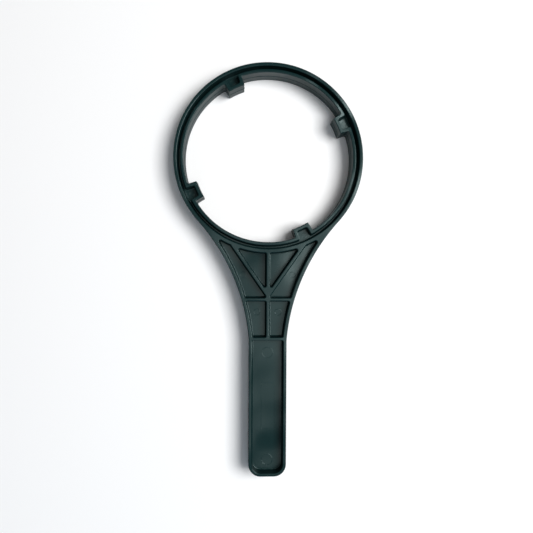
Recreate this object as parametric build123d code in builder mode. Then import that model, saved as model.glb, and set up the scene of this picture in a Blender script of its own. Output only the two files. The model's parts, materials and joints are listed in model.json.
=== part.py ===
"""Ring wrench for round water-filter housings, modelled in millimetres.

The tool is a single ribbed moulding: a hoop with four hollow driving lugs, a flared neck stiffened
by ribs, and a flat bar handle. It is the same on both faces, with one web at mid-height and open
pockets above and below it. The axis of the hoop is Z, the handle runs along -Y, and the lower face
lies on Z = 0. The whole moulding is modelled first and then divided into its named regions, which
meet face to face.
"""

import os
from math import atan2, cos, hypot, radians, sin, sqrt, tan

from build123d import *

# Section
HEIGHT = 18.0  # from the lower face to the upper face
WEB = 3.0  # thickness of the web at mid-height
DRAFT = 3.0  # draft of every pocket wall, in degrees

# Hoop
HOOP_OUTER_R = 66.7
HOOP_INNER_R = 59.1
HOOP_OUTER_RIM = 2.7  # width of the rim next to the outside
HOOP_INNER_RIM = 2.5  # width of the rim next to the bore

# Driving lugs
LUG_COUNT = 4
LUG_TIP_R = 52.8
LUG_FIRST_ANGLE = 25.2  # degrees from +X to the middle of the first lug
LUG_HALF_ANGLE = 6.6
LUG_WALL = 2.6

# Neck
NECK_ARC_R = 143.5  # each side is a concave arc from the hoop to the handle
NECK_RIM = 2.8
RIB = 2.25
CROSS_RIB = 2.0
CROSS_RIB_UPPER_Y = -99.4  # middle of the rib that crosses the neck
RIB_NODE_Y = -97.0  # where the diagonal ribs meet the centre rib
DIAGONAL_ANGLE = 35.0  # degrees between a diagonal rib and the centre rib

# Handle
HANDLE_HALF_WIDTH = 13.4
HANDLE_TOP_Y = -128.0  # where the neck ends and the handle's tray begins
HANDLE_END_Y = -223.5
HANDLE_CORNER_R = 8.8
HANDLE_RIM = 2.45

# Derived
POCKET_DEPTH = (HEIGHT - WEB) / 2
WEB_Z = HEIGHT - POCKET_DEPTH
INSET = POCKET_DEPTH * tan(radians(DRAFT))  # how far a pocket narrows from its mouth to its floor
CHANNEL_OUTER_R = HOOP_OUTER_R - HOOP_OUTER_RIM
CHANNEL_INNER_R = HOOP_INNER_R + HOOP_INNER_RIM
LUG_POCKET_R = LUG_TIP_R + LUG_WALL
LUG_POCKET_END_R = (CHANNEL_INNER_R + CHANNEL_OUTER_R) / 2  # the pocket opens into the channel
LUG_POCKET_NEAR = LUG_POCKET_R * tan(radians(LUG_HALF_ANGLE)) - LUG_WALL
LUG_POCKET_FAR = LUG_POCKET_END_R * tan(radians(LUG_HALF_ANGLE)) - LUG_WALL
CROSS_RIB_LOWER_Y = HANDLE_TOP_Y + CROSS_RIB / 2
MIDDLE = Plane.XY.offset(HEIGHT / 2)

# Centre of the right-hand neck arc, which touches the hoop and ends at the side of the handle
arc_reach = HOOP_OUTER_R + NECK_ARC_R
corner_reach = hypot(HANDLE_HALF_WIDTH, HANDLE_TOP_Y)
along = (arc_reach**2 + corner_reach**2 - NECK_ARC_R**2) / (2 * corner_reach)
bearing = atan2(HANDLE_TOP_Y, HANDLE_HALF_WIDTH) + atan2(sqrt(arc_reach**2 - along**2), along)
NECK_ARC_X = arc_reach * cos(bearing)
NECK_ARC_Y = arc_reach * sin(bearing)


def polar(radius, angle):
    """A point at this radius and angle, in degrees, about the hoop's axis."""
    return radius * cos(radians(angle)), radius * sin(radians(angle))


def lug_plane(index):
    """Plane on the lower face whose X axis points along the middle of this lug."""
    angle = LUG_FIRST_ANGLE + index * 360 / LUG_COUNT
    return Plane(origin=(0, 0, 0), x_dir=(*polar(1, angle), 0), z_dir=(0, 0, 1))


def neck_area(rim):
    """The neck between the hoop and the handle, narrowed by this rim on both sides."""
    with BuildSketch() as neck:
        with Locations((0, HANDLE_TOP_Y / 2)):
            Rectangle(2 * HOOP_OUTER_R, -HANDLE_TOP_Y)
        Circle(HOOP_OUTER_R, mode=Mode.SUBTRACT)
        with Locations((NECK_ARC_X, NECK_ARC_Y), (-NECK_ARC_X, NECK_ARC_Y)):
            Circle(NECK_ARC_R + rim, mode=Mode.SUBTRACT)
    return Sketch() + neck.sketch.faces().sort_by(Axis.Y)[0]


def handle_area(rim):
    """The handle's bar, narrowed by this rim at its sides and its rounded end."""
    with BuildSketch() as bar:
        with BuildLine():
            half_width = HANDLE_HALF_WIDTH - rim
            end_y = HANDLE_END_Y + rim
            corner = HANDLE_CORNER_R - rim
            FilletPolyline(
                (half_width, HANDLE_TOP_Y),
                (half_width, end_y),
                (-half_width, end_y),
                (-half_width, HANDLE_TOP_Y),
                radius=corner,
            )
            Line((-half_width, HANDLE_TOP_Y), (half_width, HANDLE_TOP_Y))
        make_face()
    return bar.sketch


def centre_rib(width):
    """Strip of the rib on the tool's own axis, from the hoop to the handle."""
    with BuildSketch() as strip:
        with Locations((0, HANDLE_TOP_Y / 2)):
            Rectangle(width, -HANDLE_TOP_Y)
    return strip.sketch


def cross_rib(middle_y, width):
    """Strip of a rib that runs across the neck."""
    with BuildSketch() as strip:
        with Locations((0, middle_y)):
            Rectangle(2 * HOOP_OUTER_R, width)
    return strip.sketch


def diagonal_rib(side, width):
    """Strip of the rib that rises from the rib node to the hoop, on the side +1 (right) or -1 (left)."""
    with BuildSketch() as strip:
        with Locations(Location((0, RIB_NODE_Y), side * -DIAGONAL_ANGLE)):
            Rectangle(width, HOOP_OUTER_R, align=(Align.CENTER, Align.MIN))
    return strip.sketch


def neck_pockets(shrink):
    """The six pockets between the ribs of the neck, each drawn in by this much on every side."""
    widen = 2 * shrink
    with BuildSketch() as pockets:
        add(neck_area(NECK_RIM + shrink))
        Circle(HOOP_OUTER_R + shrink, mode=Mode.SUBTRACT)
        add(centre_rib(RIB + widen), mode=Mode.SUBTRACT)
        add(cross_rib(CROSS_RIB_UPPER_Y, CROSS_RIB + widen), mode=Mode.SUBTRACT)
        add(cross_rib(CROSS_RIB_LOWER_Y, CROSS_RIB + widen), mode=Mode.SUBTRACT)
        add(diagonal_rib(1, RIB + widen), mode=Mode.SUBTRACT)
        add(diagonal_rib(-1, RIB + widen), mode=Mode.SUBTRACT)
    return pockets.sketch


def lug_sector(inner_r, outer_r, index):
    """The full sector of one lug between two radii."""
    with BuildSketch(lug_plane(index)) as sector:
        with BuildLine():
            Line(polar(inner_r, -LUG_HALF_ANGLE), polar(outer_r, -LUG_HALF_ANGLE))
            CenterArc((0, 0), outer_r, -LUG_HALF_ANGLE, 2 * LUG_HALF_ANGLE)
            Line(polar(outer_r, LUG_HALF_ANGLE), polar(inner_r, LUG_HALF_ANGLE))
            CenterArc((0, 0), inner_r, -LUG_HALF_ANGLE, 2 * LUG_HALF_ANGLE)
        make_face()
    return sector.sketch


def tray(shrink):
    """The long pocket of the handle, drawn in by this much on every side."""
    with BuildSketch() as pocket:
        add(handle_area(HANDLE_RIM + shrink))
        if shrink > 0:
            with Locations((0, HANDLE_TOP_Y)):
                Rectangle(2 * HANDLE_HALF_WIDTH, 2 * shrink, mode=Mode.SUBTRACT)
    return pocket.sketch


# The whole moulding, before it is divided
with BuildPart() as upper_half:
    with BuildSketch(MIDDLE):
        Circle(HOOP_OUTER_R)
        Circle(HOOP_INNER_R, mode=Mode.SUBTRACT)
        add(neck_area(0))
        add(handle_area(0))
        for index in range(LUG_COUNT):
            add(lug_sector(LUG_TIP_R, CHANNEL_INNER_R, index))
    extrude(amount=HEIGHT / 2)
    with BuildSketch(Plane.XY.offset(HEIGHT)):
        add(neck_pockets(0))
        add(tray(0))
    extrude(amount=-POCKET_DEPTH, taper=DRAFT, mode=Mode.SUBTRACT)
    with BuildSketch(Plane.XZ) as channel_section:
        with BuildLine():
            Polyline(
                (CHANNEL_INNER_R, HEIGHT),
                (CHANNEL_OUTER_R, HEIGHT),
                (CHANNEL_OUTER_R - INSET, WEB_Z),
                (CHANNEL_INNER_R + INSET, WEB_Z),
                close=True,
            )
        make_face()
    revolve(axis=Axis.Z, mode=Mode.SUBTRACT)
    for index in range(LUG_COUNT):
        with BuildSketch(lug_plane(index).offset(HEIGHT)):
            with BuildLine():
                Polyline(
                    (LUG_POCKET_R, -LUG_POCKET_NEAR),
                    (LUG_POCKET_END_R, -LUG_POCKET_FAR),
                    (LUG_POCKET_END_R, LUG_POCKET_FAR),
                    (LUG_POCKET_R, LUG_POCKET_NEAR),
                    close=True,
                )
            make_face()
        extrude(amount=-POCKET_DEPTH, taper=DRAFT, mode=Mode.SUBTRACT)

with BuildPart() as moulding:
    add(upper_half.part)
    mirror(about=MIDDLE)


def region(name, sketch, web_only=False):
    """Writes the region of the moulding that stands over a sketch, or only its web."""
    with BuildPart() as piece:
        with BuildSketch(Plane.XY.offset(HEIGHT - WEB_Z if web_only else 0)):
            add(sketch)
        extrude(amount=WEB if web_only else HEIGHT)
        add(moulding.part, mode=Mode.INTERSECT)
    piece.part.label = name
    export_step(piece.part, f"parts/{name}.step")


os.makedirs("parts", exist_ok=True)

# Hoop: the outer rim is one ring, and the inner rim with the web stands between the lugs
RIM_FOOT_R = CHANNEL_OUTER_R - INSET
with BuildSketch() as outer_rim:
    Circle(HOOP_OUTER_R + INSET)
    Circle(RIM_FOOT_R, mode=Mode.SUBTRACT)
region("hoop_outer_rim", outer_rim.sketch)

with BuildSketch() as inner_rims:
    Circle(RIM_FOOT_R)
    Circle(LUG_TIP_R, mode=Mode.SUBTRACT)
    for index in range(LUG_COUNT):
        add(lug_sector(LUG_TIP_R, HOOP_OUTER_R, index), mode=Mode.SUBTRACT)
for number, face in enumerate(inner_rims.sketch.faces().sort_by(Axis.X), start=1):
    region(f"hoop_inner_rim_{number}", face)

for index in range(LUG_COUNT):
    region(f"lug_{index + 1}", lug_sector(LUG_TIP_R, RIM_FOOT_R, index))

# Neck: its two side rims, then the ribs and the web panels between them
RIM_FOOT = NECK_RIM + INSET
RIB_FOOT = RIB + 2 * INSET
CROSS_RIB_FOOT = CROSS_RIB + 2 * INSET
TRAY_HALF_WIDTH = HANDLE_HALF_WIDTH - HANDLE_RIM - INSET
SIDES = (("left", -1), ("right", 1))

with BuildSketch() as side_rims:
    add(neck_area(0))
    Circle(HOOP_OUTER_R + INSET, mode=Mode.SUBTRACT)
    add(neck_area(RIM_FOOT), mode=Mode.SUBTRACT)
for (side, _), face in zip(SIDES, side_rims.sketch.faces().sort_by(Axis.X)):
    region(f"neck_rim_{side}", face)

with BuildSketch() as upper_cross:
    add(neck_area(RIM_FOOT))
    add(cross_rib(CROSS_RIB_UPPER_Y, CROSS_RIB_FOOT), mode=Mode.INTERSECT)
region("neck_cross_rib", upper_cross.sketch)

with BuildSketch() as lower_cross:
    add(neck_area(RIM_FOOT))
    add(cross_rib(CROSS_RIB_LOWER_Y, CROSS_RIB_FOOT), mode=Mode.INTERSECT)
    with Locations((0, HANDLE_TOP_Y)):
        Rectangle(2 * TRAY_HALF_WIDTH, INSET, align=(Align.CENTER, Align.MAX))
region("handle_cross_rib", lower_cross.sketch)

with BuildSketch() as centre_ribs:
    add(centre_rib(RIB_FOOT))
    Circle(HOOP_OUTER_R + INSET, mode=Mode.SUBTRACT)
    add(upper_cross.sketch, mode=Mode.SUBTRACT)
    add(lower_cross.sketch, mode=Mode.SUBTRACT)
upper_centre, lower_centre = centre_ribs.sketch.faces().sort_by(Axis.Y, reverse=True)[:2]
region("centre_rib_upper", upper_centre)
region("centre_rib_lower", lower_centre)

for side, sign in SIDES:
    with BuildSketch() as diagonal:
        add(neck_area(RIM_FOOT))
        add(diagonal_rib(sign, RIB_FOOT), mode=Mode.INTERSECT)
        Circle(HOOP_OUTER_R + INSET, mode=Mode.SUBTRACT)
        add(centre_rib(RIB_FOOT), mode=Mode.SUBTRACT)
        add(upper_cross.sketch, mode=Mode.SUBTRACT)
    region(f"diagonal_rib_{side}", diagonal.sketch.faces().sort_by(SortBy.AREA)[-1])

panels = neck_pockets(INSET).faces().sort_by(Axis.Y)
for row, name in enumerate(("lower", "outer", "inner")):
    pair = panels[2 * row : 2 * row + 2].sort_by(Axis.X)
    for (side, _), face in zip(SIDES, pair):
        region(f"neck_web_{name}_{side}", face, web_only=True)

# Handle: two side rims, the rounded end rim and the web
with BuildSketch() as handle_rims:
    add(handle_area(0))
    add(handle_area(HANDLE_RIM + INSET), mode=Mode.SUBTRACT)
with BuildSketch() as handle_end:
    add(handle_rims.sketch)
    with Locations((0, HANDLE_END_Y)):
        Rectangle(2 * HANDLE_HALF_WIDTH, 2 * HANDLE_CORNER_R, mode=Mode.INTERSECT)
with BuildSketch() as handle_sides:
    add(handle_rims.sketch)
    add(handle_end.sketch, mode=Mode.SUBTRACT)
for (side, _), face in zip(SIDES, handle_sides.sketch.faces().sort_by(Axis.X)):
    region(f"handle_rim_{side}", face)
region("handle_end_rim", handle_end.sketch)
region("handle_web", tray(INSET), web_only=True)
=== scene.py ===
"""Ring wrench for round water-filter housings: its moulded skin, its plastic and a small studio.

The tool is one injection moulding, so it is drawn as one continuous skin: the hoop with its channel
and four hollow lugs, the ribbed neck and the tray of the handle. Every wall has its draft, its
rounded edge and its floor fillet. Shapes are worked out in millimetres, in the frame of the CAD,
and become metres when a mesh is written.
"""

import json
import logging
import math
from dataclasses import dataclass
from enum import Enum
from typing import Any, Iterable, Sequence

import bpy
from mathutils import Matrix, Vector
from mathutils.geometry import tessellate_polygon

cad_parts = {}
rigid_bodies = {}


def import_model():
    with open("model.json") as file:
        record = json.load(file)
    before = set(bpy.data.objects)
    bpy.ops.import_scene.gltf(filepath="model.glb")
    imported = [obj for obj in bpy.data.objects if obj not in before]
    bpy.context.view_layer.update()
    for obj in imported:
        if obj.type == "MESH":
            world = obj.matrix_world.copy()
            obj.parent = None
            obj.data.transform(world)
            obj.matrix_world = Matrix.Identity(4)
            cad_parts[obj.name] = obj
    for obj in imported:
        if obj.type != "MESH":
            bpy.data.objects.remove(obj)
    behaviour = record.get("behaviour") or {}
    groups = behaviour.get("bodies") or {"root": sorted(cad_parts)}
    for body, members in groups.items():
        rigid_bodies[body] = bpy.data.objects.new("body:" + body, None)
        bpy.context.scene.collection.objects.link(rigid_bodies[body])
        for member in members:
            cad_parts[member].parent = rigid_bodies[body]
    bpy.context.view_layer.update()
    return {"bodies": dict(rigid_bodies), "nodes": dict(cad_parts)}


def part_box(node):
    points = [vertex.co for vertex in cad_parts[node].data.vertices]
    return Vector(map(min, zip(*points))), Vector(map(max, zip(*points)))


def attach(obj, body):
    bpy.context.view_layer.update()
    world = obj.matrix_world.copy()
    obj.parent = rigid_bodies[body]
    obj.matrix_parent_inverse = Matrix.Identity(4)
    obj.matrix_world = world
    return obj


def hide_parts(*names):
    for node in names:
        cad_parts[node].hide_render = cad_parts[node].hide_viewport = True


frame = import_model()

LOG = logging.getLogger("housing_wrench")
MM = 0.001

# How finely the shapes are drawn; lengths are in millimetres
ARC_STEP = 1.2  # longest stretch between two points of an arc
ARC_TURN = math.radians(13)  # most that a corner turns between two of its points
PROFILE_STEPS = 4  # divisions of a rounded edge and of a fillet
WELD = 1e-4  # points closer than this are one point of the mesh
SAME_PLACE = 1e-6  # ends of an arc closer than this make a whole circle
SLIVER = 1e-9  # a triangle of less than half this area is left out
NEWTON_STEPS = 40  # most steps that the search for a corner takes
NEWTON_MISS = 1e-9  # the search ends when a step is shorter than this


def frame_mm(node: str, corner: int, axis: int) -> float:
    """Reads one coordinate of a CAD node's box.

    Args:
        node: the CAD node.
        corner: 0 for its lowest corner, 1 for its highest.
        axis: 0, 1 or 2 for x, y or z.

    Returns:
        The coordinate in millimetres, to the nearest tenth, as the drawing states it.
    """
    return round(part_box(node)[corner][axis] / MM, 1)


def polar(radius: float, bearing: float) -> tuple[float, float]:
    """The point at this radius and bearing, in degrees, about the hoop's axis."""
    angle = math.radians(bearing)
    return radius * math.cos(angle), radius * math.sin(angle)


# ---------------------------------------------------------------------------------------------
# Outlines: closed chains of straight and round sides, with the open air on the left
# ---------------------------------------------------------------------------------------------


class Turn(Enum):
    """Which way a round side bends, seen along its heading."""

    LEFT = 1
    RIGHT = -1


@dataclass(frozen=True)
class Straight:
    """A straight side.

    Attributes:
        x: a point near its middle.
        y: the same point.
        heading: its direction in degrees, anticlockwise from +X.
    """

    x: float
    y: float
    heading: float

    @property
    def middle(self) -> Vector:
        """A point near the middle of the side."""
        return Vector((self.x, self.y))

    def air(self, point: Vector) -> Vector:
        """Unit vector from the side into the air; it is the same at every point."""
        angle = math.radians(self.heading)
        return Vector((-math.sin(angle), math.cos(angle)))

    def gap(self, point: Vector) -> float:
        """Distance from the side to a point, positive in the air."""
        return (point - self.middle).dot(self.air(point))

    def between(self, start: Vector, end: Vector) -> list[Vector]:
        """Points between two points of the side: none are needed."""
        return []


@dataclass(frozen=True)
class Round:
    """A side that is an arc of a circle.

    Attributes:
        cx: the circle's centre.
        cy: the circle's centre.
        radius: the circle's radius.
        turn: which way the side bends along its heading.
        towards: the bearing of the arc's middle from the centre, in degrees.
    """

    cx: float
    cy: float
    radius: float
    turn: Turn
    towards: float = 0.0

    @property
    def centre(self) -> Vector:
        """The circle's centre."""
        return Vector((self.cx, self.cy))

    @property
    def middle(self) -> Vector:
        """A point near the middle of the side."""
        return self.at(math.radians(self.towards))

    def at(self, angle: float) -> Vector:
        """The point of the circle at this bearing, in radians."""
        return self.centre + self.radius * Vector((math.cos(angle), math.sin(angle)))

    def air(self, point: Vector) -> Vector:
        """Unit vector into the air at a point."""
        return (self.centre - point).normalized() * self.turn.value

    def gap(self, point: Vector) -> float:
        """Distance from the arc to a point, positive in the air."""
        return (self.radius - (point - self.centre).length) * self.turn.value

    def between(self, start: Vector, end: Vector) -> list[Vector]:
        """Evenly spaced points of the arc between two of its points.

        Args:
            start: where the stretch begins.
            end: where it ends; the same point as start means the whole circle.

        Returns:
            The points, without start and end.
        """
        first = math.atan2(*(start - self.centre).yx)
        last = math.atan2(*(end - self.centre).yx)
        sweep = (last - first) * self.turn.value % math.tau
        if (start - end).length < SAME_PLACE:
            sweep = math.tau
        count = max(1, math.ceil(sweep * self.radius / ARC_STEP))
        return [self.at(first + self.turn.value * sweep * i / count) for i in range(1, count)]


@dataclass(frozen=True)
class Spot:
    """One point of an outline and the direction of the air there."""

    point: Vector
    air: Vector

    def mirrored(self) -> "Spot":
        """The same spot on the other side of the tool's own axis."""
        return Spot(Vector((-self.point.x, self.point.y)), Vector((-self.air.x, self.air.y)))


def meet(first: Straight | Round, second: Straight | Round, gap: float, start: Vector) -> Vector:
    """Finds the point that is the same distance from two sides, by Newton's method.

    Args:
        first: one side.
        second: the side after it.
        gap: the distance, positive in the air.
        start: a point near the answer.

    Returns:
        The point.
    """
    point = start.copy()
    for _ in range(NEWTON_STEPS):
        a, b = first.air(point), second.air(point)
        miss_a, miss_b = gap - first.gap(point), gap - second.gap(point)
        det = a.x * b.y - a.y * b.x
        step = Vector(((miss_a * b.y - miss_b * a.y) / det, (miss_b * a.x - miss_a * b.x) / det))
        point += step
        if step.length < NEWTON_MISS:
            break
    return point


def corner(first: Straight | Round, second: Straight | Round, radius: float) -> list[Spot]:
    """Rounds the corner between two sides.

    Args:
        first: the side that arrives.
        second: the side that leaves.
        radius: the fillet's radius, or 0 where two arcs touch without a corner.

    Returns:
        The spots of the corner, from its first tangent point to its last.
    """
    if radius == 0:
        reach = second.centre - first.centre
        point = first.centre + reach * first.radius / (first.radius + second.radius)
        return [Spot(point, first.air(point))]
    sharp = meet(first, second, 0.0, (first.middle + second.middle) / 2)
    a, b = first.air(sharp), second.air(sharp)
    signed = math.copysign(radius, a.x * b.y - a.y * b.x)
    centre = meet(first, second, signed, sharp + (a + b) * signed / 2)
    start = centre - signed * first.air(centre)
    end = centre - signed * second.air(centre)
    fillet = Round(*centre, radius, Turn.LEFT if signed > 0 else Turn.RIGHT)
    first_angle = math.atan2(*(start - centre).yx)
    sweep = (math.atan2(*(end - centre).yx) - first_angle) * fillet.turn.value % math.tau
    count = max(3, math.ceil(sweep / ARC_TURN), math.ceil(sweep * radius / ARC_STEP))
    turns = [first_angle + fillet.turn.value * sweep * i / count for i in range(count + 1)]
    return [Spot(fillet.at(angle), fillet.air(fillet.at(angle))) for angle in turns]


def outline(*chain: tuple[Straight | Round, float]) -> list[Spot]:
    """Draws a closed outline.

    Args:
        chain: each side with the radius of the corner after it.

    Returns:
        The outline's spots in order.
    """
    sides = [side for side, _ in chain]
    corners = [corner(side, sides[(i + 1) % len(sides)], radius) for i, (side, radius) in enumerate(chain)]
    spots: list[Spot] = []
    for i, side in enumerate(sides):
        start, end = corners[i - 1][-1].point, corners[i][0].point
        spots += [Spot(point, side.air(point)) for point in side.between(start, end)]
        spots += corners[i]
    return spots


def circle(x: float, y: float, radius: float, turn: Turn) -> list[Spot]:
    """Draws a whole circle, with the air inside it for a left turn and outside it for a right turn."""
    side = Round(x, y, radius, turn)
    start = side.at(0.0)
    return [Spot(point, side.air(point)) for point in [start, *side.between(start, start)]]


# ---------------------------------------------------------------------------------------------
# Skin: walls that follow an outline down a profile, and flat caps between them
# ---------------------------------------------------------------------------------------------


@dataclass(frozen=True)
class Level:
    """One line of a wall.

    Attributes:
        out: how far the line stands out of the outline, into the air.
        z: its height.
        tilt: how the surface faces there, in degrees: 0 is a wall that faces the air, 90 is
            level, and more than 90 faces away from the air.
    """

    out: float
    z: float
    tilt: float


class Skin:
    """A closed surface in the making, with the exact normal of every point."""

    def __init__(self) -> None:
        """Starts an empty skin."""
        self.points: list[Vector] = []
        self.normals: list[Vector] = []
        self.faces: list[tuple[int, ...]] = []

    def line(self, spots: Sequence[Spot], level: Level) -> list[int]:
        """Adds the points of one level of a wall.

        Args:
            spots: the outline.
            level: the level.

        Returns:
            The points' numbers.
        """
        first = len(self.points)
        flat, rise = math.cos(math.radians(level.tilt)), math.sin(math.radians(level.tilt))
        for spot in spots:
            place = spot.point + level.out * spot.air
            self.points.append(Vector((place.x, place.y, level.z)))
            self.normals.append(Vector((flat * spot.air.x, flat * spot.air.y, rise)))
        return list(range(first, len(self.points)))

    def wall(self, spots: Sequence[Spot], levels: Sequence[Level]) -> tuple[list[int], list[int]]:
        """Adds a wall all round an outline.

        Args:
            spots: the outline.
            levels: the wall's levels, from the highest to the lowest.

        Returns:
            The numbers of the points of its first and of its last level.
        """
        lines = [self.line(spots, level) for level in levels]
        for upper, lower in zip(lines, lines[1:]):
            for i in range(len(upper)):
                j = (i + 1) % len(upper)
                self.faces.append((upper[i], upper[j], lower[j], lower[i]))
        return lines[0], lines[-1]

    def cap(self, *loops: Iterable[int]) -> None:
        """Fills the level area between closed lines of points; it faces up."""
        numbers = [number for loop in loops for number in loop]
        polygons = [[self.points[number] for number in loop] for loop in loops]
        for triangle in tessellate_polygon(polygons):
            a, b, c = (numbers[i] for i in triangle)
            side_b, side_c = self.points[b] - self.points[a], self.points[c] - self.points[a]
            turn = side_b.x * side_c.y - side_b.y * side_c.x
            if abs(turn) > SLIVER:
                self.faces.append((a, b, c) if turn > 0 else (a, c, b))

    def mirror_down(self, other: "Skin", height: float) -> None:
        """Adds the mirror image of another skin about mid-height.

        Args:
            other: the skin to copy.
            height: the height of the whole object.
        """
        first = len(self.points)
        for point, normal in zip(other.points, other.normals):
            self.points.append(Vector((point.x, point.y, height - point.z)))
            self.normals.append(Vector((normal.x, normal.y, -normal.z)))
        self.faces += [tuple(first + number for number in reversed(face)) for face in other.faces]

    def mesh(self, name: str) -> bpy.types.Object:
        """Writes the skin as one smooth mesh with its exact normals.

        Args:
            name: the object's name.

        Returns:
            The new object, linked to the scene.
        """
        seen: dict[tuple[int, int, int], int] = {}
        renumber, kept = [], []
        for number, point in enumerate(self.points):
            key = (round(point.x / WELD), round(point.y / WELD), round(point.z / WELD))
            if key not in seen:
                seen[key] = len(kept)
                kept.append(number)
            renumber.append(seen[key])
        faces = [tuple(dict.fromkeys(renumber[number] for number in face)) for face in self.faces]
        data = bpy.data.meshes.new(name)
        data.from_pydata([self.points[i] * MM for i in kept], [], [face for face in faces if len(face) > 2])
        data.shade_smooth()
        data.normals_split_custom_set_from_vertices([self.normals[i] for i in kept])
        made = bpy.data.objects.new(name, data)
        bpy.context.scene.collection.objects.link(made)
        return made


# ---------------------------------------------------------------------------------------------
# The wrench
# ---------------------------------------------------------------------------------------------


@dataclass(frozen=True)
class Section:
    """The section that every part of the moulding shares.

    Attributes:
        height: from the lower face to the upper one.
        web: thickness of the web at mid-height.
        draft: lean of a pocket's wall, in degrees.
        side_draft: lean of an outer wall, which is widest at the parting line, in degrees.
        edge: radius of the rounding along every upper edge.
        fillet: radius where a pocket's wall meets its floor.
        parting: how far the parting line's flash stands out of an outer wall.
    """

    height: float = frame_mm("hoop_outer_rim", 1, 2)
    web: float = frame_mm("handle_web", 1, 2) - frame_mm("handle_web", 0, 2)
    draft: float = 3.0
    side_draft: float = 0.2
    edge: float = 0.6
    fillet: float = 0.6
    parting: float = 0.18

    # Flank of the parting line's ridge: how far back it stands and how far above the parting
    # plane, both as parts of the ridge's height, and how many degrees it faces up
    FLANK = ((0.9, 2.2, 45.0), (0.1, 1.4, 45.0), (0.0, 1.0, 0.0), (0.0, 0.0, 0.0))
    FLANK_TOP = 2.5

    @property
    def middle(self) -> float:
        """Height of the parting plane."""
        return self.height / 2

    @property
    def floor(self) -> float:
        """Height of the floor of every pocket."""
        return self.middle + self.web / 2

    def rounding(self, lean: float) -> list[Level]:
        """The rounded upper edge of a wall that leans by this many degrees."""
        angle = math.radians(lean)
        back = self.edge * (1 - math.sin(angle)) / math.cos(angle)
        levels = []
        for step in range(PROFILE_STEPS + 1):
            tilt = 90 - (90 - lean) * step / PROFILE_STEPS
            turn = math.radians(tilt)
            out = self.edge * math.cos(turn) - back
            levels.append(Level(out, self.height - self.edge * (1 - math.sin(turn)), tilt))
        return levels

    def pocket(self) -> list[Level]:
        """A pocket's wall, from the rounded edge of its mouth to the fillet at its floor."""
        angle = math.radians(self.draft)
        drop = self.height - self.floor - self.fillet
        centre = (self.fillet + drop * math.sin(angle)) / math.cos(angle)
        levels = self.rounding(self.draft)
        for step in range(PROFILE_STEPS + 1):
            tilt = self.draft + (90 - self.draft) * step / PROFILE_STEPS
            turn = math.radians(tilt)
            out = centre - self.fillet * math.cos(turn)
            levels.append(Level(out, self.floor + self.fillet * (1 - math.sin(turn)), tilt))
        return levels

    def side(self) -> list[Level]:
        """An outer wall, from its rounded edge to the fine ridge of the parting line."""
        ridge, lean = self.parting, self.side_draft
        back = ridge + self.middle * math.tan(math.radians(lean))
        levels = [Level(level.out - back, level.z, level.tilt) for level in self.rounding(lean)]
        levels.append(Level(-ridge, self.middle + self.FLANK_TOP * ridge, lean))
        levels += [Level(-part * ridge, self.middle + up * ridge, tilt) for part, up, tilt in self.FLANK]
        return levels


@dataclass(frozen=True)
class Print:
    """A shallow print that a piece of the mould leaves in a floor.

    Attributes:
        edge: its outline, with the air inside.
        depth: how far it is sunk.
        ridge: height of the fine ridge of flash that runs round it.
        soft: half the width of that ridge.
    """

    edge: tuple[Spot, ...]
    depth: float
    ridge: float
    soft: float

    def sink(self, skin: Skin, floor: float) -> list[int]:
        """Adds the sunk area to a skin.

        Args:
            skin: the skin.
            floor: the height of the floor that it lies in.

        Returns:
            The points of its rim, which the floor around it has to meet.
        """
        rise = math.degrees(math.atan2(self.ridge, self.soft))
        fall = math.degrees(math.atan2(self.ridge + self.depth, self.soft))
        levels = [
            Level(-self.soft, floor, 90.0),
            Level(-self.soft / 2, floor + self.ridge / 2, 90.0 + rise),
            Level(0.0, floor + self.ridge, 90.0),
            Level(self.soft / 2, floor + (self.ridge - self.depth) / 2, 90.0 - fall),
            Level(self.soft, floor - self.depth, 90.0),
        ]
        rim, bottom = skin.wall(self.edge, levels)
        skin.cap(bottom)
        return rim


def pin_print(x: float, y: float, diameter: float) -> Print:
    """The print of a round ejector pin."""
    return Print(tuple(circle(x, y, diameter / 2, Turn.LEFT)), depth=0.04, ridge=0.08, soft=0.22)


def insert_print(x: float, top: float, width: float, length: float) -> Print:
    """The print of a blank rectangular insert.

    Args:
        x: its middle.
        top: the end nearest the hoop.
        width: its width.
        length: its length.

    Returns:
        The print.
    """
    corner_radius = 0.4
    half, middle = width / 2, top - length / 2
    edge = outline(
        (Straight(x, top, 180), corner_radius),
        (Straight(x - half, middle, -90), corner_radius),
        (Straight(x, top - length, 0), corner_radius),
        (Straight(x + half, middle, 90), corner_radius),
    )
    return Print(tuple(edge), depth=0.02, ridge=0.05, soft=0.18)


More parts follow.
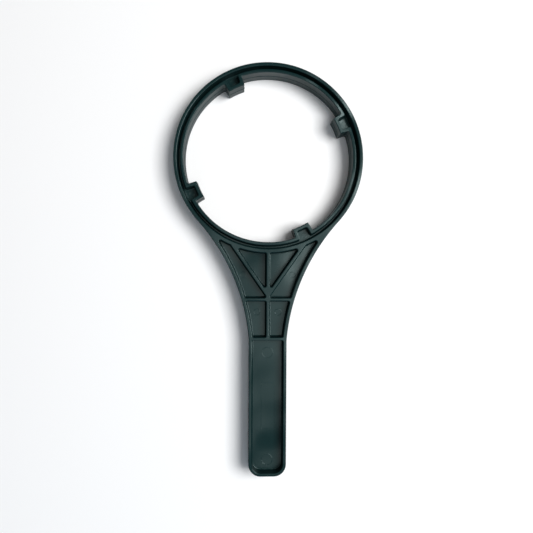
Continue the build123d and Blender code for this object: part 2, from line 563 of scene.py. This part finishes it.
@dataclass(frozen=True)
class Hoop:
    """The hoop with its channel and its lugs.

    Attributes:
        outer: outside radius.
        inner: radius of the bore.
        outer_rim: width of the rim next to the outside.
        inner_rim: width of the rim next to the bore.
        lugs: number of lugs.
        lug_tip: radius of the circle through the lugs' tips.
        lug_bearing: from +X to the middle of the first lug, in degrees.
        lug_half: half the angle that a lug takes up, in degrees.
        lug_wall: thickness of a lug's wall.
        outer_corner: radius of a lug's corners.
        inner_corner: radius in the corners of a lug's pocket.
        pin: diameter of the ejector pins that push on the channel's floor.
    """

    outer: float = frame_mm("hoop_outer_rim", 1, 0)
    inner: float = 59.1
    outer_rim: float = 2.7
    inner_rim: float = 2.5
    lugs: int = 4
    lug_tip: float = 52.8
    lug_bearing: float = 25.2
    lug_half: float = 6.6
    lug_wall: float = 2.6
    outer_corner: float = 0.8
    inner_corner: float = 1.2
    pin: float = 3.4

    def bearing(self, lug: int) -> float:
        """Bearing of the middle of a lug, in degrees."""
        return self.lug_bearing + lug * 360 / self.lugs

    def lug_side(self, lug: int, side: int, wall: float, inwards: bool) -> Straight:
        """One side of a lug, or of its pocket.

        Args:
            lug: which lug.
            side: +1 for its anticlockwise side, -1 for the other.
            wall: how far inside the lug's own side the line lies.
            inwards: whether the side heads for the hoop's axis.

        Returns:
            The side.
        """
        bearing = math.radians(self.bearing(lug) + side * self.lug_half)
        radius = (self.lug_tip + self.inner) / 2
        x = radius * math.cos(bearing) + side * wall * math.sin(bearing)
        y = radius * math.sin(bearing) - side * wall * math.cos(bearing)
        return Straight(x, y, math.degrees(bearing) + (180 if inwards else 0))

    def bore(self) -> list[Spot]:
        """The wall that meets the filter housing: the bore and the outside of every lug."""
        chain: list[tuple[Straight | Round, float]] = []
        for lug in range(self.lugs):
            gap = self.bearing(lug) - 180 / self.lugs
            chain += [
                (Round(0, 0, self.inner, Turn.LEFT, gap), self.outer_corner),
                (self.lug_side(lug, -1, 0.0, True), self.outer_corner),
                (Round(0, 0, self.lug_tip, Turn.LEFT, self.bearing(lug)), self.outer_corner),
                (self.lug_side(lug, 1, 0.0, False), self.outer_corner),
            ]
        return outline(*chain)

    def channel_inside(self) -> list[Spot]:
        """The channel's inner wall, which runs into the pocket of every lug."""
        chain: list[tuple[Straight | Round, float]] = []
        pocket = self.lug_tip + self.lug_wall
        for lug in reversed(range(self.lugs)):
            gap = self.bearing(lug) + 180 / self.lugs
            bearing = self.bearing(lug)
            x, y = polar(pocket, bearing)
            chain += [
                (Round(0, 0, self.inner + self.inner_rim, Turn.RIGHT, gap), self.outer_corner),
                (self.lug_side(lug, 1, self.lug_wall, True), self.inner_corner),
                (Straight(x, y, bearing - 90), self.inner_corner),
                (self.lug_side(lug, -1, self.lug_wall, False), self.outer_corner),
            ]
        return outline(*chain)

    def channel_outside(self) -> list[Spot]:
        """The channel's outer wall."""
        return circle(0, 0, self.outer - self.outer_rim, Turn.LEFT)

    def prints(self) -> list[Print]:
        """The ejector pins' prints, one where each lug's pocket meets the channel."""
        radius = (self.lug_tip + self.lug_wall + self.outer - self.outer_rim) / 2
        return [pin_print(*polar(radius, self.bearing(lug)), self.pin) for lug in range(self.lugs)]


@dataclass(frozen=True)
class Pocket:
    """A pocket's mouth and the prints in its floor."""

    mouth: list[Spot]
    prints: tuple[Print, ...]


@dataclass(frozen=True)
class Grip:
    """The neck and the handle.

    Attributes:
        hoop: the hoop that they grow out of.
        half_width: half the handle's width.
        top: height on the drawing where the neck ends and the handle begins.
        end: where the handle ends.
        end_corner: radius of its corners.
        rim: width of the handle's rim.
        neck_arc: radius of the neck's concave sides.
        neck_rim: width of the neck's side rims.
        rib: width of a long rib's crest.
        cross_rib: width of a cross rib's crest.
        cross_y: middle of the cross rib in the neck.
        node_y: where the diagonal ribs meet.
        slant: degrees between a diagonal rib and the tool's own axis.
        corner: radius in the corners of a pocket.
        kink: radius that eases the side of the neck into the side of the handle.
        outer_pin: x, y and diameter of the ejector pin in the right-hand outer pocket.
        lower_pin: x, y and diameter of the ejector pin in the right-hand lower pocket.
        tray_pin: diameter of the two ejector pins in the tray.
        tray_pin_gaps: from the tray's top, and from the end of the handle, to their middles.
        blank: width and length of the blank insert in the tray.
        blank_place: how far its middle is to the right of the axis, and its top below the tray's.
    """

    hoop: Hoop
    half_width: float = frame_mm("handle_end_rim", 1, 0)
    top: float = frame_mm("handle_rim_left", 1, 1)
    end: float = frame_mm("handle_end_rim", 0, 1)
    end_corner: float = 8.8
    rim: float = 2.45
    neck_arc: float = 143.5
    neck_rim: float = 2.8
    rib: float = 2.25
    cross_rib: float = 2.0
    cross_y: float = -99.4
    node_y: float = -97.0
    slant: float = 35.0
    corner: float = 1.2
    kink: float = 12.0
    outer_pin: tuple[float, float, float] = (17.6, -82.2, 4.2)
    lower_pin: tuple[float, float, float] = (7.5, -108.7, 4.6)
    tray_pin: float = 7.7
    tray_pin_gaps: tuple[float, float] = (9.5, 10.0)
    blank: tuple[float, float] = (9.3, 32.4)
    blank_place: tuple[float, float] = (0.5, 30.8)

    # Roughly where the middle of a pocket's side is: its corners are searched for from there
    NEAR_HOOP = -70.0
    NEAR_OUTER_FOOT = 10.0
    NEAR_LOWER_FOOT = 6.0
    NEAR_SLANT = 25.0

    @property
    def shoulder(self) -> Vector:
        """Where the right-hand side of the neck meets the side of the handle."""
        return Vector((self.half_width, self.top))

    def neck_centre(self) -> Vector:
        """Centre of the right-hand neck arc, which touches the hoop and ends at the handle's side."""
        reach = self.hoop.outer + self.neck_arc
        shoulder = self.shoulder
        along = (reach**2 + shoulder.length_squared - self.neck_arc**2) / (2 * shoulder.length)
        angle = math.atan2(shoulder.y, shoulder.x) + math.acos(along / reach)
        return Vector((reach * math.cos(angle), reach * math.sin(angle)))

    def neck_side(self, rim: float, turn: Turn) -> Round:
        """The right-hand side of the neck, or the inside of its rim."""
        centre = self.neck_centre()
        middle = (self.shoulder - centre).normalized() - centre.normalized()
        return Round(*centre, self.neck_arc + rim, turn, math.degrees(math.atan2(middle.y, middle.x)))

    def silhouette(self) -> list[Spot]:
        """The outside of the whole tool: hoop, neck and handle."""
        right = self.neck_side(0.0, Turn.LEFT)
        left = Round(-right.cx, right.cy, right.radius, Turn.LEFT, 180 - right.towards)
        middle = (self.top + self.end) / 2
        return outline(
            (Round(0, 0, self.hoop.outer, Turn.RIGHT, 90), 0.0),
            (right, self.kink),
            (Straight(self.half_width, middle, -90), self.end_corner),
            (Straight(0, self.end, 180), self.end_corner),
            (Straight(-self.half_width, middle, 90), self.kink),
            (left, 0.0),
        )

    def slanting(self, side: int, heading_up: bool) -> Straight:
        """A face of the right-hand diagonal rib.

        Args:
            side: +1 for the face on its right, -1 for the face on its left.
            heading_up: whether the side heads for the hoop.

        Returns:
            The side.
        """
        angle = math.radians(90 - self.slant)
        along, across = self.NEAR_SLANT, side * self.rib / 2
        x = along * math.cos(angle) + across * math.sin(angle)
        y = self.node_y + along * math.sin(angle) - across * math.cos(angle)
        return Straight(x, y, math.degrees(angle) + (0 if heading_up else 180))

    def pockets(self) -> list[Pocket]:
        """The six pockets of the neck, right-hand ones first, each with its ejector pin's print."""
        under_hoop = Round(0, 0, self.hoop.outer, Turn.RIGHT, self.NEAR_HOOP)
        rim = self.neck_side(self.neck_rim, Turn.RIGHT)
        axis_rib = Straight(self.rib / 2, self.cross_y, -90)
        half = self.cross_rib / 2
        foot = self.top + self.cross_rib
        inner = outline(
            (under_hoop, self.corner),
            (axis_rib, self.corner),
            (self.slanting(-1, True), self.corner),
        )
        outer = outline(
            (under_hoop, self.corner),
            (self.slanting(1, False), self.corner),
            (Straight(self.NEAR_OUTER_FOOT, self.cross_y + half, 0), self.corner),
            (rim, self.corner),
        )
        lower = outline(
            (Straight(self.NEAR_LOWER_FOOT, self.cross_y - half, 180), self.corner),
            (axis_rib, self.corner),
            (Straight(self.NEAR_LOWER_FOOT, foot, 0), self.corner),
            (rim, self.corner),
        )
        left = [[spot.mirrored() for spot in reversed(spots)] for spots in (inner, outer, lower)]
        pockets = [Pocket(inner, ()), Pocket(left[0], ())]
        for right_mouth, left_mouth, pin in (
            (outer, left[1], self.outer_pin),
            (lower, left[2], self.lower_pin),
        ):
            x, y, diameter = pin
            pockets.append(Pocket(right_mouth, (pin_print(x, y, diameter),)))
            pockets.append(Pocket(left_mouth, (pin_print(-x, y, diameter),)))
        return pockets

    def tray(self) -> Pocket:
        """The long pocket of the handle, with the prints of two pins and of a blank insert."""
        x = self.half_width - self.rim
        middle = (self.top + self.end) / 2
        spots = outline(
            (Straight(0, self.top, 180), self.corner),
            (Straight(-x, middle, -90), self.end_corner - self.rim),
            (Straight(0, self.end + self.rim, 0), self.end_corner - self.rim),
            (Straight(x, middle, 90), self.corner),
        )
        upper_gap, lower_gap = self.tray_pin_gaps
        aside, below = self.blank_place
        prints = (
            pin_print(0, self.top - upper_gap, self.tray_pin),
            insert_print(aside, self.top - below, *self.blank),
            pin_print(0, self.end + lower_gap, self.tray_pin),
        )
        return Pocket(spots, prints)


class Moulding:
    """The whole tool as one skin."""

    def __init__(self) -> None:
        """Takes the sizes of every part of the moulding."""
        self.section = Section()
        self.hoop = Hoop()
        self.grip = Grip(self.hoop)

    def half(self, ejected: bool) -> Skin:
        """The upper half of the skin, down to the parting plane.

        Args:
            ejected: whether this half shows the prints of the ejector pins and the insert.

        Returns:
            The half.
        """
        skin = Skin()
        side, pocket_wall = self.section.side(), self.section.pocket()
        floor = self.section.floor
        silhouette, _ = skin.wall(self.grip.silhouette(), side)
        bore, _ = skin.wall(self.hoop.bore(), side)
        inside, inside_foot = skin.wall(self.hoop.channel_inside(), pocket_wall)
        outside, outside_foot = skin.wall(self.hoop.channel_outside(), pocket_wall)
        channel_prints = self.hoop.prints() if ejected else []
        skin.cap(outside_foot, inside_foot, *[each.sink(skin, floor) for each in channel_prints])
        mouths = []
        for pocket in [*self.grip.pockets(), self.grip.tray()]:
            mouth, foot = skin.wall(pocket.mouth, pocket_wall)
            prints = pocket.prints if ejected else ()
            skin.cap(foot, *[each.sink(skin, floor) for each in prints])
            mouths.append(mouth)
        skin.cap(inside, bore)
        skin.cap(silhouette, outside, *mouths)
        return skin

    def build(self) -> bpy.types.Object:
        """Makes the wrench, attaches it to the CAD's body and hides the CAD nodes that it stands in for.

        Returns:
            The wrench.
        """
        whole = self.half(ejected=True)
        whole.mirror_down(self.half(ejected=False), self.section.height)
        wrench = whole.mesh("housing_wrench")
        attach(wrench, next(iter(frame["bodies"])))
        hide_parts(*frame["nodes"])
        LOG.info("%s: %d faces", wrench.name, len(wrench.data.polygons))
        return wrench


# ---------------------------------------------------------------------------------------------
# Finish
# ---------------------------------------------------------------------------------------------


def linear(colour: str) -> tuple[float, float, float, float]:
    """Turns an sRGB hex colour into the linear colour that Blender works in.

    Args:
        colour: the colour as "#rrggbb".

    Returns:
        Red, green, blue and 1 for opaque.
    """
    parts = [int(colour[i : i + 2], 16) / 255 for i in (1, 3, 5)]
    red, green, blue = (c / 12.92 if c <= 0.04045 else ((c + 0.055) / 1.055) ** 2.4 for c in parts)
    return red, green, blue, 1.0


def add_node(
    tree: bpy.types.NodeTree,
    kind: str,
    settings: dict[str, Any] | None = None,
    links: dict[str, bpy.types.NodeSocket] | None = None,
) -> bpy.types.Node:
    """Adds a node.

    Args:
        tree: the node tree.
        kind: the node's type, such as "ShaderNodeBump".
        settings: values of its properties, or of its inputs by name.
        links: sockets of other nodes to connect to its inputs by name.

    Returns:
        The node.
    """
    node = tree.nodes.new(kind)
    for name, value in (settings or {}).items():
        if hasattr(node, name):
            setattr(node, name, value)
        else:
            node.inputs[name].default_value = value
    for name, socket in (links or {}).items():
        tree.links.new(socket, node.inputs[name])
    return node


@dataclass(frozen=True)
class MouldedAbs:
    """Black ABS, injection moulded in a finely eroded tool.

    Attributes:
        colour: colour of the plastic.
        roughness: typical roughness of a satin moulded face.
        wall_roughness: roughness of the upright walls, which the mould drags as it opens.
        cloudiness: how much the roughness changes from patch to patch.
        ior: refractive index of ABS.
        gloss: specular level, under the usual 0.5 because the eroded texture breaks up the gloss.
        tint: colour of the gloss, neutral on a real plastic; a faint teal keeps lit faces green-black.
        grain: size of the eroded texture, in millimetres.
        grain_depth: its depth, in millimetres.
        clouds: size of the soft cloudy patches that the flow of the melt leaves, in millimetres.
        warp: width of the faint sinks that the plastic draws as it cools, in millimetres.
        warp_depth: their depth, in millimetres.
        upright: a face whose normal rises less than this, as a sine, is an upright wall.
        lying: one whose normal rises more than this is a floor or a crest.
    """

    # The eye gets a green-black satin skin: soft, slightly cloudy lights on floors and crests,
    # thin light lines along the rounded edges, and duller, darker upright walls.
    # The texture is drawn ten times coarser than the real 0.05 mm, which is too fine to show, and
    # the sinks are drawn deeper than the real few hundredths, so that their soft lights show.
    colour: str = "#0e2526"
    roughness: float = 0.23
    wall_roughness: float = 0.48
    cloudiness: float = 0.05
    ior: float = 1.54
    gloss: float = 0.26
    tint: str = "#e8fffd"
    grain: float = 0.5
    grain_depth: float = 0.003
    clouds: float = 22.0
    warp: float = 42.0
    warp_depth: float = 4.5
    upright: float = 0.1
    lying: float = 0.6

    # Most of a noise pattern's values lie between these two
    NOISE = {"From Min": 0.3, "From Max": 0.7}

    def material(self) -> bpy.types.Material:
        """Builds the material.

        Returns:
            The material, ready to be given to a mesh.
        """
        made = bpy.data.materials.new("moulded_black_abs")
        made.use_nodes = True
        tree = made.node_tree
        tree.nodes.clear()
        place = add_node(tree, "ShaderNodeTexCoord").outputs["Object"]
        grain = add_node(
            tree,
            "ShaderNodeTexNoise",
            {"Scale": 1 / (self.grain * MM), "Detail": 3.0, "Roughness": 0.6},
            {"Vector": place},
        )
        clouds = add_node(
            tree,
            "ShaderNodeTexNoise",
            {"Scale": 1 / (self.clouds * MM), "Detail": 4.0, "Roughness": 0.55, "Distortion": 0.6},
            {"Vector": place},
        )
        facing = add_node(tree, "ShaderNodeNewGeometry").outputs["True Normal"]
        rising = add_node(tree, "ShaderNodeSeparateXYZ", None, {"Vector": facing}).outputs["Z"]
        level = add_node(tree, "ShaderNodeMath", {"operation": "ABSOLUTE"}, {"Value": rising})
        slopes = {"From Min": self.upright, "From Max": self.lying}
        dull = add_node(
            tree,
            "ShaderNodeMapRange",
            {**slopes, "To Min": self.wall_roughness, "To Max": self.roughness},
            {"Value": level.outputs["Value"]},
        )
        patches = add_node(
            tree,
            "ShaderNodeMapRange",
            {**self.NOISE, "To Min": -self.cloudiness, "To Max": self.cloudiness},
            {"Value": clouds.outputs["Fac"]},
        )
        rough = add_node(tree, "ShaderNodeMath", {"operation": "ADD"}, {"Value": dull.outputs["Result"]})
        tree.links.new(patches.outputs["Result"], rough.inputs[1])
        sinks = add_node(
            tree,
            "ShaderNodeTexNoise",
            {"Scale": 1 / (self.warp * MM), "Detail": 1.0, "Roughness": 0.4},
            {"Vector": place},
        )
        warped = add_node(
            tree,
            "ShaderNodeBump",
            {"Strength": 1.0, "Distance": self.warp_depth * MM},
            {"Height": sinks.outputs["Fac"]},
        )
        bump = add_node(
            tree,
            "ShaderNodeBump",
            {"Strength": 1.0, "Distance": self.grain_depth * MM},
            {"Height": grain.outputs["Fac"], "Normal": warped.outputs["Normal"]},
        )
        shader = add_node(
            tree,
            "ShaderNodeBsdfPrincipled",
            {
                "Base Color": linear(self.colour),
                "IOR": self.ior,
                "Specular IOR Level": self.gloss,
                "Specular Tint": linear(self.tint),
            },
            {"Roughness": rough.outputs["Value"], "Normal": bump.outputs["Normal"]},
        )
        add_node(tree, "ShaderNodeOutputMaterial", None, {"Surface": shader.outputs["BSDF"]})
        return made


@dataclass(frozen=True)
class UncoatedPaper:
    """White uncoated paper, which covers the table.

    Attributes:
        colour: colour of the paper.
        roughness: typical roughness of uncoated paper.
    """

    # Its fibres scatter the light, so the eye gets an even white with soft shadows and no gloss
    colour: str = "#f4f4f4"
    roughness: float = 0.9

    def material(self) -> bpy.types.Material:
        """Builds the material.

        Returns:
            The material, ready to be given to a mesh.
        """
        made = bpy.data.materials.new("matt_white_paper")
        made.use_nodes = True
        shader = made.node_tree.nodes["Principled BSDF"]
        shader.inputs["Base Color"].default_value = linear(self.colour)
        shader.inputs["Roughness"].default_value = self.roughness
        return made


# ---------------------------------------------------------------------------------------------
# Studio
# ---------------------------------------------------------------------------------------------


@dataclass(frozen=True)
class Lamp:
    """A square soft box aimed at the middle of the hoop.

    Attributes:
        name: the lamp's name.
        bearing: where it stands around the hoop's axis, in degrees from +X.
        rise: how high it stands over the table, in degrees.
        distance: from the middle of the hoop, in millimetres.
        size: length of its sides, in millimetres.
        power: its power in watts.
        colour: its colour.
    """

    name: str
    bearing: float
    rise: float
    distance: float
    size: float
    power: float
    colour: str = "#ffffff"

    def build(self) -> None:
        """Hangs the lamp."""
        data = bpy.data.lights.new(self.name, "AREA")
        data.shape = "SQUARE"
        data.size = self.size * MM
        data.energy = self.power
        data.color = linear(self.colour)[:3]
        lamp = bpy.data.objects.new(self.name, data)
        bearing, rise = math.radians(self.bearing), math.radians(self.rise)
        level = math.cos(rise)
        out = Vector((level * math.cos(bearing), level * math.sin(bearing), math.sin(rise)))
        lamp.location = out * self.distance * MM
        lamp.rotation_euler = (-out).to_track_quat("-Z", "Y").to_euler()
        bpy.context.scene.collection.objects.link(lamp)


class Studio:
    """A white table under soft light, and the camera above it."""

    LAMPS = (
        Lamp("window", 5.0, 60.5, 1600.0, 832.0, 29.7),
        Lamp("ceiling", 285.0, 80.5, 1600.0, 736.0, 2.9),
        Lamp("sky_fill", 265.0, 28.0, 1000.0, 500.0, 0.8, "#a8d8ff"),
    )
    WORLD = 0.12  # strength of the light that comes from all round
    TABLE_HALF = 3000.0  # half the side of the table, in millimetres, as all lengths here
    CAMERA_PLACE = (-16.6, -75.7, 431.1)
    CAMERA_TILT = (-0.10, -2.14, 0.30)  # in degrees from straight down
    LENS = 40.0
    SENSOR = 36.0
    NEAREST = 10.0  # the camera sees nothing nearer than this

    def build(self) -> None:
        """Builds the table, the lamps, the surrounding light and the camera."""
        self.table()
        for lamp in self.LAMPS:
            lamp.build()
        world = bpy.data.worlds.new("white_room")
        world.use_nodes = True
        background = world.node_tree.nodes["Background"]
        background.inputs["Color"].default_value = linear("#ffffff")
        background.inputs["Strength"].default_value = self.WORLD
        bpy.context.scene.world = world
        bpy.context.scene.view_settings.view_transform = "Standard"
        self.camera()

    def table(self) -> None:
        """Lays a white sheet under the tool."""
        half = self.TABLE_HALF * MM
        corners = [(-half, -half, 0), (half, -half, 0), (half, half, 0), (-half, half, 0)]
        data = bpy.data.meshes.new("table")
        data.from_pydata(corners, [], [(0, 1, 2, 3)])
        data.materials.append(UncoatedPaper().material())
        table = bpy.data.objects.new("table", data)
        bpy.context.scene.collection.objects.link(table)

    def camera(self) -> None:
        """Hangs the camera above the table, looking down."""
        data = bpy.data.cameras.new("camera")
        data.lens = self.LENS
        data.sensor_width = self.SENSOR
        data.clip_start = self.NEAREST * MM
        camera = bpy.data.objects.new("camera", data)
        camera.location = Vector(self.CAMERA_PLACE) * MM
        camera.rotation_euler = tuple(math.radians(angle) for angle in self.CAMERA_TILT)
        bpy.context.scene.collection.objects.link(camera)
        bpy.context.scene.camera = camera


def main() -> None:
    """Builds the wrench, dresses it and sets up the studio."""
    logging.basicConfig(level=logging.INFO)
    wrench = Moulding().build()
    wrench.data.materials.append(MouldedAbs().material())
    Studio().build()
    bpy.context.view_layer.update()


if __name__ == "__main__":
    main()
